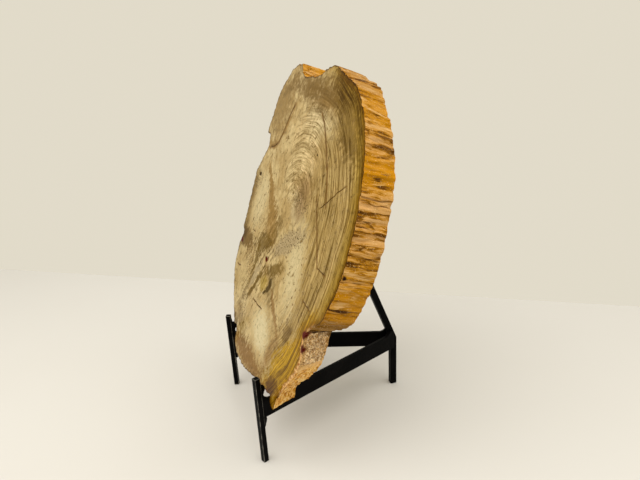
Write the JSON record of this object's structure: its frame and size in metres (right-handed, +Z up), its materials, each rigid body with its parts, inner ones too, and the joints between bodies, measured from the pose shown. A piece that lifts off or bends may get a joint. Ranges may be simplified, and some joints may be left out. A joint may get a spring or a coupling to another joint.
{
  "type": "petrified wood slice",
  "caption": "Round, lobed slice of petrified wood with sawn faces and a furrowed bark edge, leaning on a welded black iron easel with posts in front, rails below and a prop behind.",
  "frame": {"origin": "centre of the footprint box, on the surface that the easel stands on", "axes": "+Z up, -Y the way the slice faces, +X on the right of someone facing the slice"},
  "size_m": [0.2388, 0.1604, 0.3205],
  "materials": {
    "petrified_wood": "front face polished, with tan, olive and grey-brown growth rings; edge rough amber and ochre bark",
    "black_iron": "satin black paint over square and flat iron bar with ground welds"
  },
  "bodies": {
    "root": {"petrified_wood_slice": "petrified_wood", "front_post_left": "black_iron", "front_post_right": "black_iron", "side_rail_left": "black_iron", "side_rail_right": "black_iron", "rear_prop": "black_iron"}
  },
  "joints": []
}
